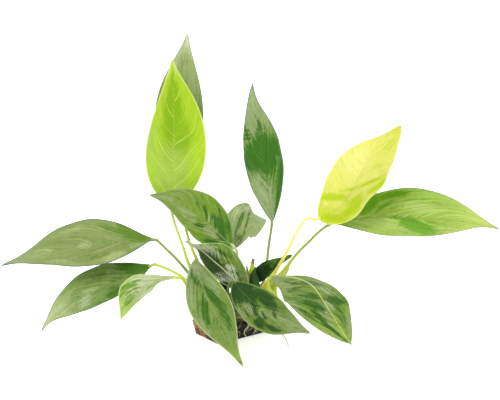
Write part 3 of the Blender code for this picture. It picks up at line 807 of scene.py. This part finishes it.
class Shader:
    """The node tree of a new material, or of the given world, under construction."""

    def __init__(self, name, world=None):
        self.owner = world or bpy.data.materials.new(name)
        self.owner.use_nodes = True
        self.tree = self.owner.node_tree
        self.tree.nodes.clear()

    def add(self, kind, inputs=(), output=0, **settings):
        """An output of a new node with these settings, its inputs linked or set."""
        node = self.tree.nodes.new(kind)
        for key, value in settings.items():
            setattr(node, key, value)
        for key, value in dict(inputs).items():
            if isinstance(value, Value):
                self.tree.links.new(value.socket, node.inputs[key])
            else:
                node.inputs[key].default_value = value
        return Value(self, node.outputs[output]) if node.outputs else None

    def math(self, operation, *numbers):
        return self.add("ShaderNodeMath", enumerate(numbers), operation=operation)

    def mix(self, share, a, b, blend="MIX"):
        """A colour between a and b."""
        a, b = (linear(c) if isinstance(c, tuple) and len(c) == 3 else c for c in (a, b))
        return self.add("ShaderNodeMix", {0: share, 6: a, 7: b}, 2, data_type="RGBA", blend_type=blend)

    def apart(self, vector):
        """The three numbers of a vector."""
        split = self.add("ShaderNodeSeparateXYZ", {0: vector})
        return [Value(self, socket) for socket in split.socket.node.outputs]

    def parts(self, name):
        """The three numbers of a vector attribute."""
        return self.apart(self.add("ShaderNodeAttribute", output="Vector", attribute_name=name))

    def vector(self, x, y, z):
        return self.add("ShaderNodeCombineXYZ", {0: x, 1: y, 2: z})

    def place(self):
        """The place in the object, in metres."""
        return self.add("ShaderNodeTexCoord", output="Object")

    def principled(self, inputs, **more):
        """The Principled shader, with an underscore for each space in the names of more."""
        inputs.update({key.replace("_", " "): value for key, value in more.items()})
        return self.add("ShaderNodeBsdfPrincipled", inputs)

    def finish(self, colour, roughness, normal, through=0.0, **more):
        """The finished material, with a share of light that comes through from behind."""
        body = self.principled({"Base Color": colour, "Roughness": roughness, "Normal": normal}, **more)
        if through:
            behind = self.add("ShaderNodeBsdfTranslucent", {"Color": colour, "Normal": normal})
            body = self.add("ShaderNodeMixShader", {0: through, 1: body, 2: behind})
        self.add("ShaderNodeOutputMaterial", {"Surface": body})
        return self.owner


def blade_skin(leaf, look, seed):
    """Leaf skin: painted sheen and shade in patches broken up along the veins, painted glints, pale veins,
    a margin and a duller underside.
    """
    shader = Shader("skin_" + leaf.name)
    t, s, vein = shader.parts("place")
    pale, deep_and_shade, painted_glint_field = shader.parts("tone")
    from_rib, from_margin, upper = shader.parts("edge")
    side = shader.math("ABSOLUTE", s)
    half = shader.math("SIGN", s)

    def hue(colour):
        return skin(colour, look.light)

    def streaks(across, onward, offset, detail):
        """Noise drawn out along the veins, by its size in millimetres across and along them."""
        vector = shader.vector(
            vein * (BLADE_LENGTH / across), side * (0.5 * leaf.width / onward), half * (7.3 + offset)
        )
        shift = (seed * 3.7, offset, seed * 1.3)
        return shader.add("ShaderNodeVectorMath", {0: vector, 1: shift}).noise(1.0, detail, 0.6)

    coarse = streaks(2.6, 15.0, 1.0, 3.0)
    thin = streaks(0.75, 9.0, 5.0, 2.0)
    mottle = shader.place().noise(260.0 + 10 * seed, 3.0, 0.6)
    grain = shader.place().noise(1500.0)
    colour = shader.mix(t.ramp(look.tip_from, 1.0), hue(look.mid), hue(look.tip))
    if look.base:
        colour = colour.painted(hue(look.base), t.ramp(0.28, 0.0))

    # Patches of painted sheen, and deep patches that are partly painted shade
    broken = (coarse - 0.5) * (1.5 * look.ragged) + (mottle - 0.5) * (0.9 * look.ragged)
    broken = broken + (thin - 0.5) * (1.1 * look.ragged)
    low, high = 0.5 - look.soft, 0.5 + look.soft
    # Painted sheen: paler where the wet blade reflects the white surroundings
    sheen_share = (pale + look.uneven + broken).ramp(low, high)
    colour = colour.painted(hue(look.pale), sheen_share * 0.75)
    # Deep patches: the blade's own deep green, and painted shade where it faces away from the light
    deep_and_shade_share = (deep_and_shade + look.uneven - broken).ramp(low, high)
    colour = colour.painted(hue(look.deep_and_shade), deep_and_shade_share * 0.9)

    # Lateral veins, and finer ones between them
    wavering = (mottle - 0.5).times_plus(0.018, vein)
    lines = (wavering * look.veins).to_and_fro() * (BLADE_LENGTH / look.veins)
    fade = side.ramp(1.0, 0.6) * t.ramp(0.0, 0.08)
    shown = lines.ramp(0.6, 0.1) * fade * coarse.ramp(0.3, 0.6, 0.3, 1.0)
    colour = colour.painted(hue(look.vein), shown * look.vein_show)
    small = (wavering * (look.veins * 4)).to_and_fro().ramp(0.3, 0.05)
    small = small * fade * thin.ramp(0.35, 0.65)
    colour = colour.painted(hue(look.vein), small * look.fine_show)

    # Streaks along the veins, partly painted sheen, and painted glints: highlights on the wet surface
    tone = grain.times_plus(0.2, thin * (2 * look.streak)) + (0.9 - look.streak)
    colour = shader.mix(1.0, colour, shader.vector(tone, tone, tone), "MULTIPLY")
    # Painted highlights: near-white glint dots
    painted_glint_dots = (thin - 0.5).times_plus(0.7, grain).ramp(0.5, 0.62) * painted_glint_field.ramp(0.25, 0.75)
    colour = colour.painted(hue((206, 212, 190)), painted_glint_dots * 0.6)

    # Midrib, margin and underside
    rib = (from_rib / t.ramp(0.0, 1.0, 0.75, 0.3)).ramp(1.0, 0.45)
    colour = colour.painted(hue(look.rib), rib * look.rib_show)
    colour = colour.painted(hue(look.margin), from_margin.ramp(1.0, 0.4) * look.margin_show)
    behind = colour.painted(hue(halfway(look.mid, (178, 190, 140))), 0.55)
    behind = behind.painted(hue((188, 200, 140)), rib * 0.8)
    colour = behind.painted(colour, upper)
    height = thin.times_plus(0.6, grain * 0.3) - small * 0.5
    gloss = upper.times_plus(-0.25, mottle).ramp(0.1, 0.9, 0.26, 0.6)
    return shader.finish(
        colour, gloss, height.bump(0.00035, 0.55), look.through,
        Specular_IOR_Level=0.07, Coat_Weight=0.02, Coat_Roughness=0.15,
    )


def stalk_skin(leaf, seed):
    """Smooth, faintly ribbed stalk skin, with its colour at the blade and at the foot."""
    high, low, sheath, _ = STALKS[leaf.name]
    shader = Shader("skin_stalk_" + leaf.name)
    share, turn, steps = shader.parts("place")
    ribs = shader.vector(steps * 0.08, turn * 9.0, seed).noise(1.0, 3.0)
    mottle = shader.place().noise(400.0, 3.0)
    colour = shader.mix(share.ramp(0.15, 0.75), skin(low), skin(high))
    colour = colour.painted(darker(low, 0.72), ribs.ramp(0.5, 0.75, 0.0, 0.55))
    foot = (share + mottle * 0.08).ramp(0.16, 0.06)
    colour = colour.painted((120, 128, 58), foot * 0.6)

    # The sheath is darker inside, paler on its wings and brown along their rims
    sheathed = share.ramp(sheath, sheath - 0.08)
    colour = colour.painted(darker(low, 0.8), turn.ramp(0.3, 0.22) * sheathed * 0.4)
    wing = turn.ramp(0.24, 0.3) * turn.ramp(0.46, 0.36) * sheathed
    colour = colour.painted(halfway(high, (235, 235, 235)), wing * 0.55)
    rim = turn.ramp(0.33, 0.36) * turn.ramp(0.42, 0.38) * sheathed * ribs.ramp(0.35, 0.55)
    colour = colour.painted((142, 108, 54), rim * 0.6)
    joint = share.ramp(0.9, 0.915) * share.ramp(0.97, 0.93)
    colour = colour.painted(darker(high, 0.8), joint * 0.3)
    return shader.finish(
        colour, mottle.ramp(0.2, 0.8, 0.28, 0.5), (ribs + mottle * 0.4).bump(0.0003, 0.6), 0.1,
        Specular_IOR_Level=0.25, Coat_Weight=0.05, Coat_Roughness=0.2,
    )


def shoot_skin(name, colours, seed):
    """A young shoot's or an old sheath's skin, from its colours at foot, middle and tip."""
    low, high, tip = colours
    shader = Shader("skin_" + name)
    share, turn, steps = shader.parts("place")
    ribs = shader.vector(steps * 0.15, turn * 7.0, seed).noise(1.0, 3.0)
    colour = shader.mix(share.ramp(0.3, 0.7), low, high)
    colour = colour.painted(darker(low, 0.65), ribs.ramp(0.5, 0.75, 0.0, 0.4))
    colour = colour.painted(tip, share.ramp(0.86, 0.94))
    return shader.finish(
        colour, 0.42, ribs.bump(0.0003, 0.6), 0.1,
        Specular_IOR_Level=0.12, Coat_Weight=0.02, Coat_Roughness=0.2,
    )


def rhizome_skin():
    """Olive skin with brown scars."""
    shader = Shader("skin_rhizome")
    share = shader.parts("place")[0]
    mottle = shader.place().noise(350.0, 4.0, 0.6)
    spots = shader.place().noise(1200.0)
    colour = shader.mix(mottle.ramp(0.35, 0.65), (58, 72, 26), (112, 122, 48))
    colour = colour.painted((74, 58, 30), spots.ramp(0.55, 0.7, 0.0, 0.6))
    scars = ((share * RHIZOME_SCARS).to_and_fro() + mottle * 0.15).ramp(0.12, 0.04)
    colour = colour.painted((70, 54, 30), scars * 0.7)
    normal = (mottle + spots * 0.4).bump(0.0005, 0.8)
    return shader.finish(colour, mottle.ramp(0.2, 0.8, 0.4, 0.7), normal, Specular_IOR_Level=0.35)


def root_skin(name, near, far):
    """A root's skin, from the rhizome to its paler end."""
    shader = Shader("skin_" + name)
    share = shader.parts("place")[0]
    mottle = shader.place().noise(700.0, 3.0, 0.6)
    colour = shader.mix(share.ramp(0.2, 0.8), near, far)
    colour = colour.painted(darker(near, 0.6), mottle.ramp(0.5, 0.75, 0.0, 0.6))
    return shader.finish(colour, 0.55, mottle.bump(0.0002, 0.6), Specular_IOR_Level=0.35)


def wood_skin():
    """Wet bogwood: nearly black long faces with brown fibres, and a tan sawn end with dark cracks."""
    shader = Shader("skin_wood")
    x, y, z = shader.parts("place")
    end, top, _ = shader.parts("edge")
    fibre = shader.vector(x * 0.09, y * 1.1, z * 1.1).noise(1.0, 4.0, 0.65)
    lump = shader.vector(x, y, z).noise(0.22, 4.0, 0.6)
    grit = shader.vector(x, y, z).noise(1.6, 3.0, 0.6)
    ring = ((z * 0.32 + y * 0.07 + lump * 1.6) * 1.6).to_and_fro()
    side = shader.mix(fibre.ramp(0.5, 0.75), (14, 10, 8), (64, 46, 24))
    side = side.painted((120, 104, 44), lump.ramp(0.58, 0.7, 0.0, 0.8))
    sawn = shader.mix(ring.ramp(0.1, 0.4), (118, 80, 32), (168, 122, 52))
    sawn = sawn.painted((86, 54, 24), grit.ramp(0.5, 0.68, 0.0, 0.8))
    sawn = sawn.painted((44, 28, 16), lump.ramp(0.46, 0.62, 0.0, 0.85))
    sawn = sawn.painted((30, 20, 12), y.ramp(4.0, -5.0, 0.0, 0.92))
    crown = shader.mix(lump.ramp(0.4, 0.6), (36, 28, 18), (70, 62, 30))
    crown = crown.painted((80, 92, 36), grit.ramp(0.55, 0.7, 0.0, 0.6))
    colour = side.painted(sawn, end).painted(crown, top)
    wet = lump.ramp(0.35, 0.6, 0.3, 0.75)
    return shader.finish(colour, wet, (fibre + grit * 0.5).bump(0.0008, 0.8), Specular_IOR_Level=0.35)


def rhizome():
    """The creeping stem: knotted rings, lumps and scars."""
    phases = np.random.default_rng(11).uniform(0, FULL_TURN, 4)

    def radius(share, turn):
        rings = np.cos(FULL_TURN * RHIZOME_SCARS * share)
        bare = RHIZOME_RADIUS * (1 + RHIZOME_SWELL * rings)
        bare = bare * (1 - 0.3 * (1 - smooth(share, 0, 0.05)) - 0.3 * smooth(share, 0.95, 1.0))
        lumps = 0.05 * np.sin(3 * turn + 9 * share + phases[0]) * np.sin(21 * share + phases[1])
        lumps = lumps + 0.03 * np.sin(7 * turn + phases[2] + 30 * share)
        scars = 0.05 * smooth(rings, -0.98, -0.8)
        return bare * (0.95 + lumps + scars)

    line = along(RHIZOME, np.linspace(0, 1, RHIZOME_ROWS))
    surface = rhizome_skin()
    tube_piece("creeping_stem", "rhizome", line, radius, RHIZOME_SIDES, (0, 0, 1), surface)


def shoot(name, foot, through, widths, surface):
    """A pointed shoot, rolled like a young leaf."""
    start, out = on_rhizome(*foot, GAP)
    line = line_through([start, start + out * STALK_RISE, *through], STALK_STEPS)
    line = np.concatenate([[line[0] - out * SHOOT_BURIED], line])
    first, second, last = (0.5 * width for width in widths)

    def radius(share, turn):
        bare = first + (second - first) * smooth(share, 0.3, 0.65)
        bare = bare + (last - bare) * smooth(share, 0.62, 1.0) ** 1.3
        return bare * (1.3 - 0.22 * hump(turn - 0.4 - 1.2 * share, 0.35))

    tube_piece("bud_" + name, name, line, radius, SHOOT_SIDES, (0, -1, 0.1), surface)


def old_sheath(name, points, width, surface):
    """A flat sheath, pointed at its top. The brown one is dry, left by an old leaf; the dark ones are
    painted shade.
    """

    def radius(share, turn):
        half = 0.5 * width * (0.7 + 0.5 * share - 1.1 * smooth(share, 0.5, 1.0))
        half = half * (1 + 0.12 * np.sin(23 * share + width) * np.sin(turn))
        return 1 / np.sqrt((np.cos(turn) / SHEATH_THICKNESS) ** 2 + (np.sin(turn) / half) ** 2)

    line = line_through(points, SHEATH_STEPS)
    tube_piece(name, None, line, radius, SHEATH_SIDES, (0.1, -1, 0.2), surface)


def turned(x, y):
    """X and Y of a place that is given along and across the block."""
    turn = math.radians(BLOCK_TURN)
    return x * math.cos(turn) - y * math.sin(turn), x * math.sin(turn) + y * math.cos(turn)


def on_face(place_along, height, off, back=False):
    """A point off one of the block's long faces, from its middle and the floor."""
    spread = 1 + (BLOCK_FLARE - 1) * min(height / BLOCK_HEIGHT, 1.0)
    out = 0.5 * BLOCK_DEPTH * spread + off
    return np.array((*turned(place_along * spread, out if back else -out), height))


def root_radius(thick, thin, seed):
    """The radius of a root that narrows to its end, a little knobbly."""
    phases = np.random.default_rng(seed).uniform(0, FULL_TURN, 3)

    def radius(share, turn):
        bare = thick + (thin - thick) * share**1.2
        bumps = 0.08 * np.sin(40 * share + phases[0]) + 0.06 * np.sin(93 * share + 2 * turn + phases[1])
        return bare * (1 + bumps) * (1 - 0.85 * smooth(share, 0.96, 1.0))

    return radius


def root(name, share, spots, on_floor, surface):
    """One of the thick roots, down from the rhizome's front and over the block's face."""
    start, out = on_rhizome(share, ROOT_ANGLE, GAP)
    clear = GAP + 1.5 * ROOT_RADIUS
    brow = on_face(spots[0][0], BLOCK_HEIGHT + clear, clear)
    points = [start - out, start + (brow - start) * 0.6 + (0, 0, 0.5), brow]
    points += [on_face(*spot, clear) for spot in spots] + [np.array(point) for point in on_floor]
    line = line_through(points, ROOT_STEPS)
    radius = root_radius(1.15 * ROOT_RADIUS, 0.5 * ROOT_RADIUS, len(name))
    tube_piece("thick_" + name, name, line, radius, ROOT_SIDES, ROOT_FACING, surface)


def fine_roots(name, count, seed, back, surface):
    """Thin roots that cling to one long face of the block, as one mesh."""
    random = np.random.default_rng(seed)
    vertices, faces, places = [], [], []
    total = 0
    for k in range(count):
        share = random.uniform(0.03, 0.97)
        angle = random.uniform(*FINE_ROOT_ANGLES) * (-1 if back else 1)
        start = on_rhizome(share, angle, -FINE_ROOT_BURIED)[0]
        drift = random.normal(0, 4)
        clear = random.uniform(0.25, 0.5)
        middle = start[:2] @ turned(1.0, 0.0) + drift
        middle = np.clip(middle, 1 - FINE_ROOT_REACH, FINE_ROOT_REACH - 1)
        low = random.uniform(0.5, 5)
        points = [start, on_face(middle, BLOCK_HEIGHT + 0.9, clear + 0.5, back)]
        for height in np.linspace(BLOCK_HEIGHT - 0.8, low, 4):
            middle = np.clip(middle + random.normal(0, 1.3), -FINE_ROOT_REACH, FINE_ROOT_REACH)
            points.append(on_face(middle, height, clear, back))
        line = line_through(points, FINE_ROOT_STEPS)
        thick = random.uniform(0.16, 0.36)
        radius = root_radius(thick, 0.4 * thick, seed + k)
        more, walls, place = sweep(line, radius, ROOT_SIDES, ROOT_FACING)
        vertices.append(more)
        faces += [tuple(index + total for index in face) for face in walls]
        places.append(place)
        total += len(more)
    mesh_object(name, np.concatenate(vertices), faces, {"place": np.concatenate(places)}, surface)


def block(surface):
    """The sawn bogwood, with worn edges, fibrous long faces and a rough top."""
    cube = bmesh.new()
    bmesh.ops.create_cube(cube, size=1.0)
    bmesh.ops.subdivide_edges(cube, edges=cube.edges, cuts=BLOCK_CUTS, use_grid_fill=True)
    cube.verts.ensure_lookup_table()
    corners = np.array([vertex.co for vertex in cube.verts])
    faces = [[vertex.index for vertex in face.verts] for face in cube.faces]
    cube.free()
    half = np.array([0.5 * BLOCK_LENGTH, 0.5 * BLOCK_DEPTH, 0.5 * BLOCK_HEIGHT])
    corners = corners * 2 * half
    inner = np.clip(corners, -(half - BLOCK_WORN), half - BLOCK_WORN)
    out = corners - inner
    flat = np.abs(out).max(axis=1) < 1e-6
    out = unit(np.where(flat[:, None], 1.0, out))
    points = inner + out * BLOCK_WORN
    depth = np.zeros(len(points))
    for k, (place, normal) in enumerate(zip(points, out)):
        fibres = noise.fractal(Vector((place[0] * 0.08, place[1] * 0.9, place[2] * 0.9)), 1.0, 2.2, 3)
        lumps = noise.fractal(Vector(place * 0.16) + Vector((3, 1, 7)), 1.0, 2.0, 3)
        chips = noise.noise(Vector(place * 0.6))
        depth[k] = -0.14 - 0.3 * fibres * (1 - abs(normal[0])) - 0.2 * lumps - 0.1 * chips
    depth = np.clip(depth, -BLOCK_DEEPEST, 0.0) * smooth(points[:, 2], -half[2] + 0.1, -half[2] + 1.2)
    local = points + out * depth[:, None]
    height = local[:, 2] + half[2]
    x, y = turned(*(local[:, :2].T * (1 + (BLOCK_FLARE - 1) * height / BLOCK_HEIGHT)))
    points = np.stack([x, y, np.maximum(height, 0.0)], -1)
    edge = as_rows(smooth(np.abs(out[:, 0]), 0.5, 0.9), smooth(out[:, 2], 0.5, 0.9), 0.0)
    piece = mesh_object("wood", points, faces, {"place": local, "edge": edge}, surface)
    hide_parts("bogwood_block")


def light(name, at, towards, power):
    """A square soft light in metres."""
    lamp = bpy.data.lights.new(name, "AREA")
    lamp.shape = "SQUARE"
    lamp.size = LIGHT_SIZE
    lamp.energy = power
    holder = bpy.data.objects.new(name, lamp)
    holder.location = at
    holder.rotation_euler = (Vector(towards) - Vector(at)).to_track_quat("-Z", "Y").to_euler()
    bpy.context.scene.collection.objects.link(holder)


def studio():
    """White floor, white surroundings, soft lights and the camera."""
    scene = bpy.context.scene
    ground = bpy.data.meshes.new("floor")
    corners = [(x * FLOOR_REACH, y * FLOOR_REACH, 0) for x, y in ((-1, -1), (1, -1), (1, 1), (-1, 1))]
    ground.from_pydata(corners, [], [(0, 1, 2, 3)])
    floor = bpy.data.objects.new("floor", ground)
    scene.collection.objects.link(floor)
    white = Shader("floor")
    body = white.principled(
        {"Base Color": (0.92, 0.92, 0.92, 1)}, Roughness=0.9, Emission_Color=(1, 1, 1, 1),
        Emission_Strength=0.6, Specular_IOR_Level=0.1,
    )
    white.add("ShaderNodeOutputMaterial", {"Surface": body})
    ground.materials.append(white.owner)

    # Bright above and behind, dimmer from the front, and white where it is seen
    scene.world = bpy.data.worlds.new("surroundings")
    sky = Shader("", scene.world)
    _, y, z = sky.apart(sky.add("ShaderNodeTexCoord", output="Generated"))
    level = y.times_plus(0.35, z * 0.5).ramp(-0.35, 0.5, 0.28, 1.0)
    seen = sky.add("ShaderNodeLightPath", output="Is Camera Ray")
    level = sky.math("MAXIMUM", level, seen)
    glow = sky.add("ShaderNodeBackground", {"Color": (1.0, 1.0, 1.0, 1.0), "Strength": level})
    sky.add("ShaderNodeOutputWorld", {"Surface": glow})

    for row in LIGHTS:
        light(*row)

    camera = bpy.data.cameras.new("camera")
    camera.lens = CAMERA_LENS
    camera.sensor_width = 36.0
    camera.clip_end = 30.0
    holder = bpy.data.objects.new("camera", camera)
    towards = Vector((0, -math.cos(CAMERA_PITCH), math.sin(CAMERA_PITCH)))
    holder.location = CAMERA_AIM + towards * CAMERA_AWAY
    holder.rotation_euler = (math.radians(90) - CAMERA_PITCH, 0, 0)
    scene.collection.objects.link(holder)
    scene.camera = holder
    scene.view_settings.view_transform = "Standard"
    scene.view_settings.look = "None"


def plant():
    """Every piece of the plant."""
    for seed, leaf in enumerate(LEAVES):
        look = LOOKS[leaf.name]
        blade(leaf, look, blade_skin(leaf, look, seed), seed)
        stalk(leaf, stalk_skin(leaf, seed))
    for seed, (name, foot, through, widths, slot, colours) in enumerate(SHOOTS, 1):
        shoot(name, foot, through, widths, shoot_skin(name, colours, seed))
    rhizome()
    # The dark sheaths' skin is painted shade
    skins = {SHADE_SHEATH_COLOURS: shoot_skin("painted_shade_sheaths", SHADE_SHEATH_COLOURS, 4), BROWN: shoot_skin("old_sheath_right", BROWN, 5)}
    for name, points, width, colours in OLD_SHEATHS:
        old_sheath(name, points, width, skins[colours])
    block(wood_skin())
    thick = root_skin("roots", (150, 140, 70), (216, 206, 150))
    faint = root_skin("root_on_floor", (214, 212, 170), (236, 238, 222))
    for name, share, spots, on_floor in ROOTS:
        root(name, share, spots, on_floor, faint if on_floor else thick)
    pale = root_skin("fine_roots", (120, 104, 50), (214, 206, 160))
    for row in FINE_ROOTS:
        fine_roots(*row, pale)


plant()
studio()
